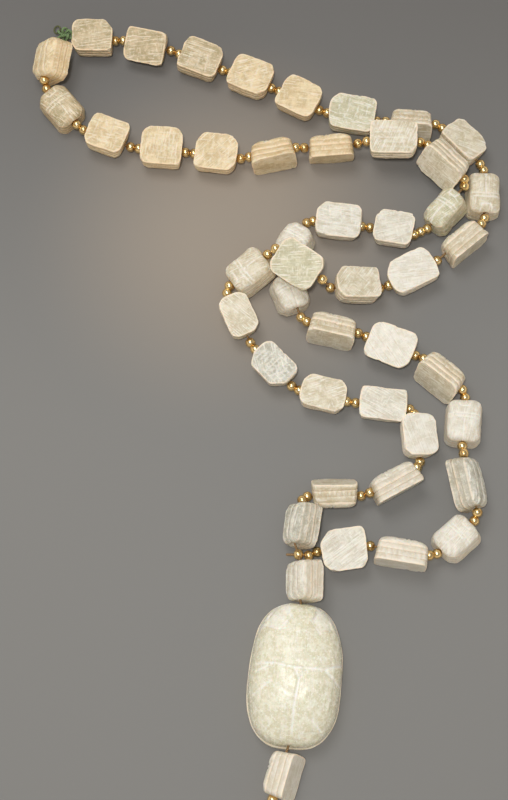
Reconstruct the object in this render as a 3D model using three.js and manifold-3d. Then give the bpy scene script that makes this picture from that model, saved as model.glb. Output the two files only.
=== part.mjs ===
// A necklace of carved stone scarab beads with a large scarab amulet as its pendant, laid down on a table.
// Millimetres, +Z up. The origin is the middle of the large scarab's flat base, and +Y runs up from it.
// Each bead keeps its own frame: the string runs along X, the flat base is low and the carved back is high.

import * as THREE from 'three';
import { mergeVertices } from 'three/addons/utils/BufferGeometryUtils.js';
import Module from 'manifold-3d';

const wasm = await Module();
wasm.setup();

const BEAD_HEIGHT = 8.2;
const BEAD_HOLE_HEIGHT = 4.7;
const BEAD_END_SHARE = 0.442;
const BEAD_CORNER_LENGTH = 2.7;
const BEAD_CORNER_WIDTH = 3.1;
const HOLE_RADIUS = 1.05;
const BALL_RADIUS = 1.45;
const BALL_TO_BEAD = 1.25;
const THREAD_RADIUS = 0.42;
const STRING_SIDES = 5;
const CLEARANCE = 0.3;

const LARGE_LENGTH = 45.2;
const LARGE_WIDTH = 29.6;
const LARGE_HOLE_HEIGHT = 6.1;
const LARGE_SIDES = 24;
const LARGE_LEAN = 5.5;
const LARGE_OVAL_POWER = 2.65;
const LARGE_HEAD_NARROWING = 0.05;
const GROOVE_WIDTH = 1.1;
const GROOVE_DEPTH = 0.6;
const GROOVE_STEP = 4.5;

// One level of a small bead: its height, and its length and width as shares of the base's.
const BEAD_LEVELS = [
  [0.0, 1.0, 1.0],
  [1.9, 1.0, 1.0],
  [2.5, 0.88, 0.9],
  [3.2, 0.9, 0.97],
  [6.3, 0.87, 0.88],
];
const BEAD_BACK_LENGTH = 0.7;
const BEAD_BACK_WIDTH = 0.6;

// One level of the large scarab: its height, and its length and width as shares of the base's.
const LARGE_LEVELS = [
  [0.0, 0.975, 0.965],
  [0.8, 1.0, 1.0],
  [3.1, 1.0, 1.0],
  [3.8, 0.95, 0.94],
  [5.6, 0.955, 0.95],
  [8.8, 0.925, 0.905],
  [12.0, 0.82, 0.78],
  [14.4, 0.62, 0.56],
  [15.8, 0.32, 0.28],
];

// The carved lines of the large scarab, in pairs: towards the head, and towards its right side.
const LARGE_LINES = [
  [[1.9, -9.3], [1.5, -0.8], [1.7, 8.5], [3.4, 12.6]],
  [[1.6, -0.8], [-1.7, 1.1], [-9.6, 0.3], [-17.3, 0.3]],
  [[0.9, 2.7], [-1.7, 1.1]],
  [[2.0, -9.0], [-0.4, -12.0]],
  [[1.6, 8.5], [-2.4, 12.6]],
  [[-2.9, -7.4], [-7.1, -11.6]],
  [[-13.6, 6.2], [-16.0, 8.4]],
  [[20.8, -5.0], [17.4, -3.1], [13.0, -6.4], [14.0, -10.2]],
  [[20.4, 5.2], [16.2, 3.5], [12.7, 6.6], [13.6, 10.4]],
];

// A row per bead along the string: its roll in degrees (0 has the back up, 180 the flat base up, positive
// rolls turn the back to the right of the string's run), its length and width, the height that it is lifted
// by what it lies on, and the place on the table where the string turns after it.
const UPPER_START = [-78.3, 220];
const UPPER_ROWS = [
  [180, 14.2, 12.0, 0, [-60, 219.5]],
  [-150, 14.0, 11.6, 0, [-40.5, 215]],
  [180, 14.2, 12.4, 0, [-22.5, 208]],
  [178, 14.4, 12.6, 0, [-5.5, 201]],
  [182, 14.0, 12.6, 0, [11, 192.5]],
  [183, 16.0, 12.6, 0, [31, 188.5]],
  [-106, 14.4, 10.6, 0, [51, 187]],
  [160, 15.0, 11.4, 0, [65.5, 171.5]],
  [-4, 15.6, 11.4, 0, [65, 151]],
  [90, 15.4, 11.0, 0, [48.6, 137.5]],
  [180, 16.4, 12.0, 0, [31, 128.5]],
  [190, 15.0, 11.6, 0, [10.8, 127]],
  [158, 16.0, 13.2, 8.5, [-7, 139.2]],
  [8, 15.0, 12.4, 0, [-22.5, 127.5]],
  [180, 14.6, 10.2, 0, [-13.5, 107.8]],
  [183, 15.0, 10.8, 0, [0.5, 93]],
  [180, 15.0, 11.0, 0, [19, 88.5]],
  [184, 15.4, 10.6, 0, [39.5, 86]],
  [172, 14.2, 11.2, 0, [41, 66.8]],
  [86, 16.8, 11.6, 0, [23, 57]],
  [-112, 14.5, 11.2, 0, [2.8, 56.6]],
  [62, 14.2, 11.6, 0, [-0.4, 38.2]],
];
const LOWER_START = [-82.6, 219.2];
const LOWER_ROWS = [
  [50, 14.6, 13.6, 0, [-85.5, 200.8]],
  [6, 15.0, 11.8, 0, [-73, 186]],
  [178, 13.6, 12.2, 0, [-54, 179]],
  [180, 14.2, 13.8, 0, [-35, 177.3]],
  [182, 14.4, 13.0, 0, [-16, 174.5]],
  [-92, 15.2, 12.0, 0, [2.8, 178]],
  [-80, 15.4, 11.0, 0, [24, 179]],
  [180, 16.0, 12.0, 5.8, [45, 178.0]],
  [-110, 15.8, 12.4, 3.4, [59.3, 164.3]],
  [14, 15.2, 10.0, 0, [43.6, 146.5]],
  [180, 13.2, 11.6, 0, [25, 150.2]],
  [177, 15.4, 11.8, 0, [5.7, 152]],
  [10, 12.6, 11.2, 0, [-4.5, 136.2]],
  [-6, 13.4, 11.4, 0, [3.2, 116]],
  [-98, 15.6, 11.6, 0, [23, 111.5]],
  [192, 15.8, 12.6, 0, [41.8, 103.8]],
  [-106, 15.4, 12.6, 0, [56.4, 91.2]],
  [4, 15.2, 12.0, 0, [54.5, 71.8]],
  [-60, 17.2, 12.2, 0, [58.7, 49.6]],
  [8, 14.0, 11.8, 0, [44.3, 37.2]],
  [92, 16.8, 11.8, 0, [24.2, 40.7]],
  [176, 14.4, 13.2, 0, [7.6, 38.4]],
];

// Most gaps between two beads hold two balls. These don't: the bead before the gap, and its balls.
const UPPER_ODD_GAPS = new Map([[10, 1]]);
const LOWER_ODD_GAPS = new Map([[10, 3], [21, 1]]);

// The three balls where the two strands meet, the cut end of the thread there, and the two drop beads.
const MEETING_BALLS = [[7.2, 38.9, 4.4], [4.5, 37.6, 5.2], [1.2, 37.9, 5.4]];
const THREAD_END = [-2.6, 38, 4.6];
const DROP_TOP = { roll: 60, length: 13.2, width: 12.2, centre: [1.8, 29.25], heading: -91 };
const DROP_END = { roll: 111, length: 14.2, width: 12.2, centre: [-5.0, -30.1], heading: -107 };
const END_BALLS = 2;

const KNOT_CENTRE = [-79.4, 222.3, 3.6];
const KNOT_RADII = [2.0, 1.7, 1.5];
const LOOP_RADIUS = 1.5;
const LOOP_THICKNESS = 0.4;
const LOOP_OFFSET = [-2.6, 1.6, 0.3];

const paleStone = new THREE.MeshStandardMaterial({ color: 0xe0dac2, roughness: 0.6, metalness: 0 });
const warmStone = new THREE.MeshStandardMaterial({ color: 0xd9c8a6, roughness: 0.62, metalness: 0 });
const greenishStone = new THREE.MeshStandardMaterial({ color: 0xdad8bc, roughness: 0.5, metalness: 0 });
const goldMetal = new THREE.MeshStandardMaterial({ color: 0xb8893f, roughness: 0.3, metalness: 1 });
const greenThread = new THREE.MeshStandardMaterial({ color: 0x6f9a66, roughness: 0.85, metalness: 0 });

// Shapes

// Skins a row of rings that all have the same number of points, and closes its two ends.
function loft(rings) {
  const sides = rings[0].length;
  const positions = rings.flat().flatMap((point) => [point.x, point.y, point.z]);
  const indices = [];
  for (let level = 0; level < rings.length - 1; level += 1) {
    for (let side = 0; side < sides; side += 1) {
      const next = (side + 1) % sides;
      const low = level * sides;
      const high = low + sides;
      indices.push(low + side, low + next, high + next, low + side, high + next, high + side);
    }
  }
  const last = (rings.length - 1) * sides;
  for (let side = 1; side < sides - 1; side += 1) {
    indices.push(0, side + 1, side);
    indices.push(last, last + side, last + side + 1);
  }
  const geometry = new THREE.BufferGeometry();
  geometry.setAttribute('position', new THREE.Float32BufferAttribute(positions, 3));
  geometry.setIndex(indices);
  return geometry;
}

function toSolid(geometry) {
  const bare = geometry.clone();
  bare.deleteAttribute('normal');
  bare.deleteAttribute('uv');
  const merged = mergeVertices(bare, 1e-4);
  return new wasm.Manifold(new wasm.Mesh({
    numProp: 3,
    vertProperties: new Float32Array(merged.attributes.position.array),
    triVerts: new Uint32Array(merged.index.array),
  }));
}

function toGeometry(solid) {
  const { vertProperties, triVerts } = solid.getMesh();
  const geometry = new THREE.BufferGeometry();
  geometry.setAttribute('position', new THREE.Float32BufferAttribute(vertProperties, 3));
  geometry.setIndex(Array.from(triVerts));
  return geometry;
}

// A drilled hole along X at the given height.
function drill(length, height) {
  const hole = new THREE.CylinderGeometry(HOLE_RADIUS, HOLE_RADIUS, length, 6);
  hole.rotateZ(Math.PI / 2);
  hole.translate(0, 0, height);
  return toSolid(hole);
}

// An octagon that is a rectangle with its corners cut, at one height.
function octagon(halfLength, halfWidth, cutLength, cutWidth, height) {
  const corners = [
    [halfLength, -halfWidth + cutWidth], [halfLength, halfWidth - cutWidth],
    [halfLength - cutLength, halfWidth], [-halfLength + cutLength, halfWidth],
    [-halfLength, halfWidth - cutWidth], [-halfLength, -halfWidth + cutWidth],
    [-halfLength + cutLength, -halfWidth], [halfLength - cutLength, -halfWidth],
  ];
  return corners.map(([x, y]) => new THREE.Vector3(x, y, height));
}

// The rings of a small scarab: a base plate, the groove over it, the ridge of the legs and the arched back.
function beadRings(length, width) {
  const rings = BEAD_LEVELS.map(([height, lengthShare, widthShare]) => octagon(
    length * lengthShare / 2, width * widthShare / 2,
    BEAD_CORNER_LENGTH * lengthShare, BEAD_CORNER_WIDTH * widthShare, height,
  ));
  const backLength = length * BEAD_BACK_LENGTH / 2;
  const backWidth = width * BEAD_BACK_WIDTH / 2;
  rings.push(octagon(backLength, backWidth, backLength * 0.3, backWidth * 0.4, BEAD_HEIGHT));
  return rings;
}

function bead(length, width) {
  const body = toSolid(loft(beadRings(length, width)));
  return toGeometry(body.subtract(drill(length * 2, BEAD_HOLE_HEIGHT)));
}

// An oval with full sides that narrows a little towards the head, at one height.
function largeOval(lengthShare, widthShare, height) {
  return Array.from({ length: LARGE_SIDES }, (_, side) => {
    const angle = (side + 0.5) * 2 * Math.PI / LARGE_SIDES;
    const along = Math.sign(Math.cos(angle)) * Math.abs(Math.cos(angle)) ** (2 / LARGE_OVAL_POWER);
    const across = Math.sign(Math.sin(angle)) * Math.abs(Math.sin(angle)) ** (2 / LARGE_OVAL_POWER);
    const narrowing = 1 - LARGE_HEAD_NARROWING * along;
    return new THREE.Vector3(
      along * LARGE_LENGTH / 2 * lengthShare,
      across * LARGE_WIDTH / 2 * widthShare * narrowing,
      height,
    );
  });
}

// A carved line on the large scarab's back: a three-sided cutter that follows the surface.
function lineCutter(line, surface) {
  const path = new THREE.CurvePath();
  for (let i = 0; i < line.length - 1; i += 1) {
    const [from, to] = [line[i], line[i + 1]].map(([ahead, right]) => new THREE.Vector3(ahead, -right, 0));
    path.add(new THREE.LineCurve3(from, to));
  }
  const steps = Math.max(1, Math.round(path.getLength() / GROOVE_STEP));
  const down = new THREE.Vector3(0, 0, -1);
  const caster = new THREE.Raycaster();
  const rings = Array.from({ length: steps + 1 }, (_, step) => {
    const share = step / steps;
    const point = path.getPointAt(share);
    const ahead = path.getTangentAt(share);
    const aside = new THREE.Vector3(-ahead.y, ahead.x, 0).multiplyScalar(GROOVE_WIDTH / 2);
    caster.set(new THREE.Vector3(point.x, point.y, BEAD_HEIGHT * 4), down);
    const surfaceHeight = caster.intersectObject(surface)[0].point.z;
    const [left, right, bottom] = [point.clone().add(aside), point.clone().sub(aside), point.clone()];
    left.z = surfaceHeight + GROOVE_DEPTH;
    right.z = surfaceHeight + GROOVE_DEPTH;
    bottom.z = surfaceHeight - GROOVE_DEPTH;
    return [left, bottom, right];
  });
  return toSolid(loft(rings.reverse()));
}

function largeScarab() {
  const body = loft(LARGE_LEVELS.map(([height, long, wide]) => largeOval(long, wide, height)));
  const surface = new THREE.Mesh(body);
  let solid = toSolid(body).subtract(drill(LARGE_LENGTH * 2, LARGE_HOLE_HEIGHT));
  for (const line of LARGE_LINES) {
    solid = solid.subtract(lineCutter(line, surface));
  }
  return toGeometry(solid);
}

// Placing

function radians(degrees) {
  return THREE.MathUtils.degToRad(degrees);
}

// How a bead lies: rolled about its string, tilted up along it and turned on the table.
function attitude(roll, tilt, heading) {
  return new THREE.Euler(radians(roll), -tilt, heading, 'ZYX');
}

// The height of a bead's hole over the table when its lowest corner touches it.
function restingHeight(length, width, euler) {
  const corners = beadRings(length, width).flat();
  const heights = corners.map((corner) => {
    return corner.clone().setZ(corner.z - BEAD_HOLE_HEIGHT).applyEuler(euler).z;
  });
  return -Math.min(...heights);
}

// Where every bead of a strand lies, from its rows.
function layOut(start, rows) {
  const turns = [start, ...rows.map((row) => row[4])];
  const level = rows.map(([roll, length, width, lift]) => {
    return restingHeight(length, width, attitude(roll, 0, 0)) + lift;
  });
  const turnHeights = turns.map((_, i) => {
    const before = level[Math.max(0, i - 1)];
    const after = level[Math.min(rows.length - 1, i)];
    return (before + after) / 2;
  });
  return rows.map(([roll, length, width, lift], i) => {
    const [from, to] = [turns[i], turns[i + 1]];
    const run = new THREE.Vector2(to[0] - from[0], to[1] - from[1]);
    const tilt = Math.atan2(turnHeights[i + 1] - turnHeights[i], run.length());
    const euler = attitude(roll, tilt, run.angle());
    const height = restingHeight(length, width, euler) + lift;
    const centre = new THREE.Vector3((from[0] + to[0]) / 2, (from[1] + to[1]) / 2, height);
    const ahead = new THREE.Vector3(1, 0, 0).applyEuler(euler);
    return { length, width, euler, centre, ahead, halfPitch: run.length() / 2 };
  });
}

function layDrop({ roll, length, width, centre, heading }) {
  const euler = attitude(roll, 0, radians(heading));
  const height = restingHeight(length, width, euler);
  const ahead = new THREE.Vector3(1, 0, 0).applyEuler(euler);
  return { length, width, euler, centre: new THREE.Vector3(...centre, height), ahead };
}

// The string

// A ring of the string: a regular outline round a point, square to its run.
function stringRing(centre, ahead, radius) {
  const side = new THREE.Vector3(0, 0, 1).cross(ahead).normalize();
  const high = ahead.clone().cross(side).normalize();
  return Array.from({ length: STRING_SIDES }, (_, i) => {
    const angle = i * 2 * Math.PI / STRING_SIDES;
    return centre.clone()
      .addScaledVector(side, radius * Math.cos(angle))
      .addScaledVector(high, radius * Math.sin(angle));
  });
}

// The points that the string runs through, each with its radius: a ball is four of them.
function ballPoints(centre, before, after) {
  const waist = BALL_RADIUS * 0.45;
  return [
    [centre.clone().addScaledVector(before, -waist), BALL_RADIUS],
    [centre.clone().addScaledVector(after, waist), BALL_RADIUS],
  ];
}

function threadPoint(point) {
  return [point.clone(), THREAD_RADIUS];
}

function stringSolid(points) {
  const rings = points.map(([point, radius], i) => {
    const before = points[Math.max(0, i - 1)][0];
    const after = points[Math.min(points.length - 1, i + 1)][0];
    const ahead = after.clone().sub(before).normalize();
    return stringRing(point, ahead, radius);
  });
  return toSolid(loft(rings));
}

// The ball next to a bead, before it (-1) or after it (1): never so close that it meets the bead's end.
function ballBeside(place, sign, balls) {
  const shared = place.halfPitch - (balls - 1) * BALL_RADIUS;
  const reach = Math.max(shared, place.length * BEAD_END_SHARE + BALL_TO_BEAD);
  return place.centre.clone().addScaledVector(place.ahead, sign * reach);
}

// The points of one strand from its first bead to the last, with the balls in each gap.
function strandPoints(placed, oddGaps) {
  const points = [];
  for (let i = 0; i < placed.length - 1; i += 1) {
    const [here, next] = [placed[i], placed[i + 1]];
    const balls = oddGaps.get(i + 1) ?? 2;
    const first = ballBeside(here, 1, balls);
    const last = ballBeside(next, -1, balls);
    const across = next.centre.clone().sub(here.centre).normalize();
    points.push(threadPoint(first.clone().addScaledVector(here.ahead, -BALL_RADIUS)));
    for (let k = 0; k < balls; k += 1) {
      const ball = first.clone().lerp(last, balls > 1 ? k / (balls - 1) : 0.5);
      const before = k === 0 ? here.ahead : across;
      const after = k === balls - 1 ? next.ahead : across;
      points.push(...ballPoints(ball, before, after));
      if (k < balls - 1) {
        points.push(threadPoint(first.clone().lerp(last, (k + 0.5) / (balls - 1))));
      }
    }
    points.push(threadPoint(last.clone().addScaledVector(next.ahead, BALL_RADIUS)));
  }
  return points;
}

function pointOf(list) {
  return new THREE.Vector3(...list);
}

// The point where the string leaves a bead, just beyond its flat end.
function mouth(place, sign) {
  const reach = place.length * BEAD_END_SHARE + CLEARANCE;
  return place.centre.clone().addScaledVector(place.ahead, sign * reach);
}

const upper = layOut(UPPER_START, UPPER_ROWS);
const lower = layOut(LOWER_START, LOWER_ROWS);
const dropTop = layDrop(DROP_TOP);
const dropEnd = layDrop(DROP_END);
const meeting = MEETING_BALLS.map(pointOf);

function beadString() {
  const upperLast = upper[upper.length - 1];
  const upperString = stringSolid([
    threadPoint(mouth(upper[0], -1)),
    ...strandPoints(upper, UPPER_ODD_GAPS),
    threadPoint(mouth(upperLast, 1)),
    threadPoint(meeting[2]),
  ]);
  const lowerLast = lower[lower.length - 1];
  const meetingRun = meeting.map((ball, i) => {
    const from = meeting[i - 1] ?? lowerLast.centre;
    const to = meeting[i + 1] ?? pointOf(THREAD_END);
    return to.clone().sub(from).normalize();
  });
  const meetingPoints = meeting.flatMap((ball, i) => [
    threadPoint(ball.clone().addScaledVector(meetingRun[i], -BALL_RADIUS)),
    ...ballPoints(ball, meetingRun[i], meetingRun[i]),
  ]);
  const lowerString = stringSolid([
    threadPoint(mouth(lower[0], -1)),
    ...strandPoints(lower, LOWER_ODD_GAPS),
    threadPoint(mouth(lowerLast, 1)),
    ...meetingPoints,
    threadPoint(meeting[2].clone().addScaledVector(meetingRun[2], BALL_RADIUS)),
    threadPoint(pointOf(THREAD_END)),
  ]);
  const endRun = dropEnd.ahead;
  const firstEndBall = mouth(dropEnd, 1).addScaledVector(endRun, BALL_TO_BEAD);
  const endPoints = Array.from({ length: END_BALLS }, (_, i) => {
    const ball = firstEndBall.clone().addScaledVector(endRun, i * 2 * BALL_RADIUS);
    const before = ball.clone().addScaledVector(endRun, -BALL_RADIUS);
    return [threadPoint(before), ...ballPoints(ball, endRun, endRun)];
  }).flat();
  const lastPoint = firstEndBall.clone().addScaledVector(endRun, (2 * END_BALLS - 1) * BALL_RADIUS);
  const dropString = stringSolid([
    threadPoint(meeting[2]),
    threadPoint(mouth(dropTop, -1)),
    threadPoint(mouth(dropTop, 1)),
    threadPoint(largeMouth(1)),
    threadPoint(largeMouth(-1)),
    threadPoint(mouth(dropEnd, -1)),
    ...endPoints,
    threadPoint(lastPoint),
    [lastPoint.clone().addScaledVector(endRun, 0.4), 0.9],
    [lastPoint.clone().addScaledVector(endRun, 1.6), 0.9],
    [lastPoint.clone().addScaledVector(endRun, 2.2), THREAD_RADIUS],
  ]);
  return toGeometry(upperString.add(lowerString).add(dropString));
}

// The end of the large scarab's hole, at its head (1) or at its tail (-1).
function largeMouth(sign) {
  const lean = radians(LARGE_LEAN);
  const reach = sign * LARGE_LENGTH * 0.46;
  return new THREE.Vector3(reach * Math.sin(lean), reach * Math.cos(lean), LARGE_HOLE_HEIGHT);
}

// The green knot that ties the ends at the top, with its small loop.
function greenKnot() {
  const lump = new THREE.IcosahedronGeometry(1, 1);
  lump.scale(...KNOT_RADII);
  const loop = new THREE.TorusGeometry(LOOP_RADIUS, LOOP_THICKNESS, 4, 8);
  loop.translate(...LOOP_OFFSET);
  const knot = toGeometry(toSolid(lump).add(toSolid(loop)));
  knot.translate(...KNOT_CENTRE);
  return knot;
}

// Assembly

function namedMesh(name, geometry, material) {
  const mesh = new THREE.Mesh(geometry, material);
  mesh.name = name;
  return mesh;
}

function placedBead(name, place, material) {
  const geometry = bead(place.length, place.width);
  geometry.translate(0, 0, -BEAD_HOLE_HEIGHT);
  const mesh = namedMesh(name, geometry, material);
  mesh.position.copy(place.centre);
  mesh.rotation.copy(place.euler);
  return mesh;
}

function strand(name, placed) {
  const group = new THREE.Group();
  placed.forEach((place, i) => {
    const number = String(i + 1).padStart(2, '0');
    const material = place.centre.y > 165 ? warmStone : paleStone;
    group.add(placedBead(`${name}_${number}`, place, material));
  });
  return group;
}

const necklace = new THREE.Group();
necklace.add(strand('scarab_upper', upper));
necklace.add(strand('scarab_lower', lower));
necklace.add(placedBead('scarab_drop_top', dropTop, paleStone));
necklace.add(placedBead('scarab_drop_end', dropEnd, paleStone));

const largeMesh = namedMesh('large_scarab', largeScarab(), greenishStone);
largeMesh.rotation.z = Math.PI / 2 - radians(LARGE_LEAN);
necklace.add(largeMesh);

necklace.add(namedMesh('string_with_gold_balls', beadString(), goldMetal));
necklace.add(namedMesh('green_knot', greenKnot(), greenThread));

export default necklace;
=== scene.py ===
from math import atan2, cos, hypot, pi, radians, sin, tau

import bmesh
import bpy
import numpy as np
from mathutils import Euler, Matrix, Vector


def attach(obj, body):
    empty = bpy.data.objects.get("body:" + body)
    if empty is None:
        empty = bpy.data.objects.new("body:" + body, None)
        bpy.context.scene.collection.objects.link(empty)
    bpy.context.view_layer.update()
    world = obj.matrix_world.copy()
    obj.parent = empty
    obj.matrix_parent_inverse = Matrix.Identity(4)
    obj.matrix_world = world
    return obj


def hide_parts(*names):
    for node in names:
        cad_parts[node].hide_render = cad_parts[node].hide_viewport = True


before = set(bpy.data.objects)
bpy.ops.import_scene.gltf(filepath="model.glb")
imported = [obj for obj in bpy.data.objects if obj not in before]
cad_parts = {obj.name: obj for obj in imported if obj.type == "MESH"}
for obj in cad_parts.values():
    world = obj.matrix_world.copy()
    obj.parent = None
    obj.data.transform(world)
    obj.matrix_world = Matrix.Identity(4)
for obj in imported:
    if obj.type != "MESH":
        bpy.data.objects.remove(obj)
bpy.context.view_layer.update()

# The camera
# It looks down on the necklace from above the large scarab, a little from its tail end, and the
# large scarab is at the foot of the picture.
CAMERA_PLACE = Vector((-0.0129, -0.0392, 0.4830))
CAMERA_AIM = Vector((-0.0129, 0.0903, 0))
CAMERA_LENS = 68
SENSOR_HEIGHT = 36

camera_data = bpy.data.cameras.new("camera")
camera_data.sensor_fit = "VERTICAL"
camera_data.sensor_height = SENSOR_HEIGHT
camera_data.lens = CAMERA_LENS
camera_data.clip_start = 0.01
camera_data.clip_end = 10
camera = bpy.data.objects.new("camera", camera_data)
camera.location = CAMERA_PLACE
camera.rotation_euler = (CAMERA_AIM - CAMERA_PLACE).to_track_quat("-Z", "Y").to_euler()
bpy.context.scene.collection.objects.link(camera)
bpy.context.scene.camera = camera
bpy.context.scene.view_settings.view_transform = "Standard"

# How the beads lie
# The necklace is two strands of 22 small scarabs, strung from the tie at the top left down to the large
# scarab. Each bead rests on its plate, its back or a side, and two lie over a bead of the other strand.
BEAD_HEIGHT = 0.0082
HOLE_HEIGHT = 0.0047
CORNER_LENGTH = 0.0027
CORNER_WIDTH = 0.0031
END_SHARE = 0.442

# The widest outlines of a bead that can touch the table: height, and shares of its length and width.
RESTING_LEVELS = [
    (0, 1, 1),
    (0.0019, 1, 1),
    (0.0025, 0.88, 0.9),
    (0.0032, 0.9, 0.97),
    (0.0063, 0.87, 0.88),
]
BACK_LENGTH = 0.7
BACK_WIDTH = 0.6
BACK_CUT_LENGTH = 0.3
BACK_CUT_WIDTH = 0.4

# A row per bead: its roll in degrees (0 has the back up, 180 the plate up), length, width, the height
# that it is lifted, the place where the string turns after it, its stone, its marks, the angle of its
# sanding scratches, and how large the cuts across its corners are. The corners go round from the left
# one at the string's start, as it is seen from above.
SQUARE = (0.4, 0.4, 0.4, 0.4)
UPPER_START = (-0.0783, 0.2200)
UPPER_BEADS = [
    (180, 0.0142, 0.0120, 0, (-0.0600, 0.2195), "olive", "plain", 8, (0.55, 0.8, 0.2, 0.85)),
    (-150, 0.0140, 0.0116, 0, (-0.0405, 0.2150), "olive", "notches", 14, (0.3, 0.5, 0.3, 0.3)),
    (180, 0.0142, 0.0124, 0, (-0.0225, 0.2080), "olive", "rows", 4, (0.5, 0.3, 0.4, 0.7)),
    (178, 0.0144, 0.0126, 0, (-0.0055, 0.2010), "straw", "strokes", 40, (0.5, 0.4, 0.9, 0.55)),
    (182, 0.0140, 0.0126, 0, (0.0110, 0.1925), "straw", "plain", 20, (0.6, 0.35, 0.6, 0.75)),
    (183, 0.0160, 0.0126, 0, (0.0310, 0.1885), "green", "strokes", -10, (0.8, 0.75, 0.5, 0.55)),
    (-106, 0.0144, 0.0106, 0, (0.0510, 0.1870), "cream", "notches", 5, SQUARE),
    (160, 0.0150, 0.0114, 0, (0.0655, 0.1715), "cream", "plain", 30, (0.5, 0.3, 0.3, 1.1)),
    (-4, 0.0156, 0.0114, 0, (0.0650, 0.1510), "cream", "plain", 5, (0.5, 0.5, 0.5, 0.5)),
    (90, 0.0154, 0.0110, 0, (0.0486, 0.1375), "cream", "plain", -4, SQUARE),
    (180, 0.0164, 0.0120, 0, (0.0310, 0.1285), "white", "plain", -20, (0.45, 0.75, 1.15, 0.7)),
    (190, 0.0150, 0.0116, 0, (0.0108, 0.1270), "cream", "plain", 50, (0.5, 0.3, 1.1, 0.75)),
    (158, 0.0160, 0.0132, 0.0085, (-0.0070, 0.1392), "green", "plain", 35, (0.7, 0.8, 0.7, 0.8)),
    (8, 0.0150, 0.0124, 0, (-0.0225, 0.1275), "cream", "plain", 15, (0.6, 0.7, 0.7, 0.6)),
    (180, 0.0146, 0.0102, 0, (-0.0135, 0.1078), "cream", "plain", 25, (0.7, 0.7, 0.55, 0.8)),
    (183, 0.0150, 0.0108, 0, (0.0005, 0.0930), "grey", "grid", -30, (0.7, 0.9, 1.2, 0.5)),
    (180, 0.0150, 0.0110, 0, (0.0190, 0.0885), "cream", "plain", 30, (0.9, 0.7, 0.75, 0.8)),
    (184, 0.0154, 0.0106, 0, (0.0395, 0.0860), "pearl", "plain", -22, (0.3, 0.4, 0.4, 0.3)),
    (172, 0.0142, 0.0112, 0, (0.0410, 0.0668), "white", "plain", 15, (0.6, 0.6, 0.7, 0.5)),
    (86, 0.0168, 0.0116, 0, (0.0230, 0.0570), "pearl", "plain", 3, SQUARE),
    (-112, 0.0145, 0.0112, 0, (0.0028, 0.0566), "cream", "notches", -3, SQUARE),
    (62, 0.0142, 0.0116, 0, (-0.0004, 0.0382), "grey", "flutes", 6, SQUARE),
]
LOWER_START = (-0.0826, 0.2192)
LOWER_BEADS = [
    (50, 0.0146, 0.0136, 0, (-0.0855, 0.2008), "straw", "flutes", 30, (0.7, 0.5, 0.8, 0.4)),
    (6, 0.0150, 0.0118, 0, (-0.0730, 0.1860), "olive", "plain", -12, (0.7, 0.7, 0.6, 0.7)),
    (178, 0.0136, 0.0122, 0, (-0.0540, 0.1790), "straw", "strokes", 9, (0.4, 0.7, 0.7, 0.3)),
    (180, 0.0142, 0.0138, 0, (-0.0350, 0.1773), "straw", "grid", 85, (0.75, 0.5, 0.2, 0.65)),
    (182, 0.0144, 0.0130, 0, (-0.0160, 0.1745), "straw", "strokes", 50, (0.75, 0.35, 0.85, 0.85)),
    (-92, 0.0152, 0.0120, 0, (0.0028, 0.1780), "straw", "plain", 3, SQUARE),
    (-80, 0.0154, 0.0110, 0, (0.0240, 0.1790), "straw", "plain", -20, SQUARE),
    (180, 0.0160, 0.0120, 0.0058, (0.0450, 0.1780), "cream", "rows", 70, (0.25, 0.25, 0.6, 0.4)),
    (-110, 0.0158, 0.0124, 0.0034, (0.0593, 0.1643), "cream", "plain", 4, SQUARE),
    (14, 0.0152, 0.0100, 0, (0.0436, 0.1465), "green", "plain", 12, (0.7, 0.6, 0.7, 0.6)),
    (180, 0.0132, 0.0116, 0, (0.0250, 0.1502), "pearl", "plain", 22, (0.6, 0.45, 0.8, 0.6)),
    (177, 0.0154, 0.0118, 0, (0.0057, 0.1520), "pearl", "rows", -6, (0.55, 0.6, 0.9, 0.5)),
    (10, 0.0126, 0.0112, 0, (-0.0045, 0.1362), "pearl", "plain", 40, (0.8, 0.8, 0.8, 0.8)),
    (-6, 0.0134, 0.0114, 0, (0.0032, 0.1160), "pearl", "plain", -15, (0.7, 0.8, 0.8, 0.7)),
    (-98, 0.0156, 0.0116, 0, (0.0230, 0.1115), "cream", "notches", 2, SQUARE),
    (192, 0.0158, 0.0126, 0, (0.0418, 0.1038), "white", "plain", -34, (0.75, 0.4, 0.8, 0.5)),
    (-106, 0.0154, 0.0126, 0, (0.0564, 0.0912), "cream", "plain", 4, (0.4, 0.5, 0.4, 0.5)),
    (4, 0.0152, 0.0120, 0, (0.0545, 0.0718), "white", "plain", 10, (0.55, 0.55, 0.55, 0.55)),
    (-60, 0.0172, 0.0122, 0, (0.0587, 0.0496), "grey", "flutes", 3, (0.3, 0.5, 0.6, 0.5)),
    (8, 0.0140, 0.0118, 0, (0.0443, 0.0372), "white", "plain", -10, (0.7, 0.6, 0.6, 0.7)),
    (92, 0.0168, 0.0118, 0, (0.0242, 0.0407), "white", "notches", 5, SQUARE),
    (176, 0.0144, 0.0132, 0, (0.0076, 0.0384), "pearl", "plain", 28, (0.75, 0.3, 1.05, 0.85)),
]

# The drop beads over and under the large scarab: the same row, with the bead's middle for the place, and
# the string's heading.
DROP_TOP = (60, 0.0132, 0.0122, 0, (0.0018, 0.02925), "pearl", "flutes", 4, SQUARE)
DROP_TOP_HEADING = -91
DROP_END = (111, 0.0142, 0.0122, 0, (-0.0050, -0.0301), "white", "plain", 3, SQUARE)
DROP_END_HEADING = -107

# Which end of its bead a head is at: 1 along the string, and -1 towards its start.
UPPER_HEADS = 1
LOWER_HEADS = -1
DROP_HEADS = -1


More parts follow.
